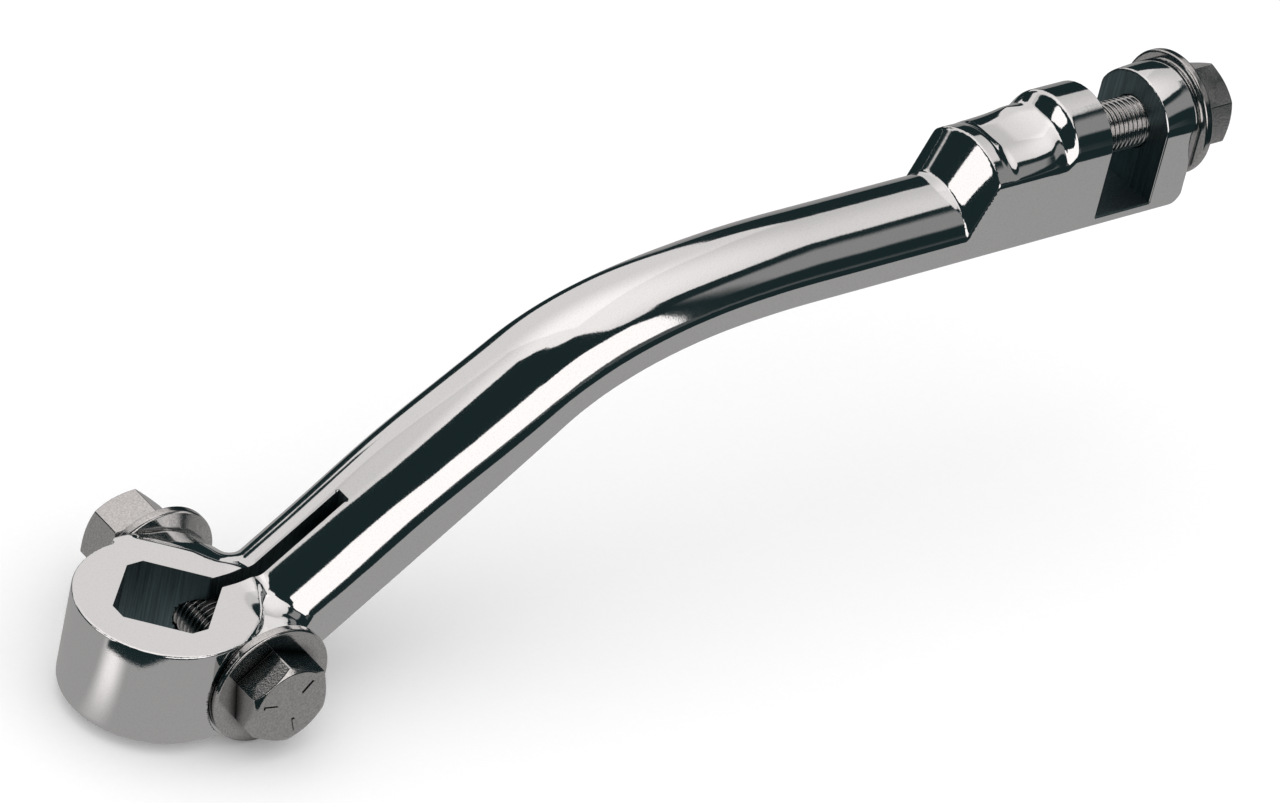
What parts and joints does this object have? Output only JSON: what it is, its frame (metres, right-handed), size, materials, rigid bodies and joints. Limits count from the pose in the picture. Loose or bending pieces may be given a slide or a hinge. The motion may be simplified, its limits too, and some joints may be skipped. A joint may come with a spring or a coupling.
{
  "type": "kick start lever",
  "caption": "Cranked kick start lever with a split square-socket hub closed by a cross bolt and a fork with a pivot bolt for a folding pedal.",
  "frame": {"origin": "centre of the square hole on the hub's inner face, the face towards the engine", "axes": "+Z out along the spindle, +X towards the fork, +Y towards the pinch bolt's nut"},
  "size_m": [0.2347, 0.0548, 0.081],
  "materials": {
    "chrome": "polished chrome plate",
    "plated_steel": "dull plated steel"
  },
  "bodies": {
    "root": {"lever_arm": "chrome", "pinch_bolt": "plated_steel", "pinch_head_washer": "plated_steel", "pinch_nut_washer": "plated_steel", "pinch_lock_washer": "plated_steel", "pinch_nut": "plated_steel", "pivot_bolt": "plated_steel", "pivot_washer": "plated_steel", "pivot_lock_washer": "plated_steel"}
  },
  "joints": []
}
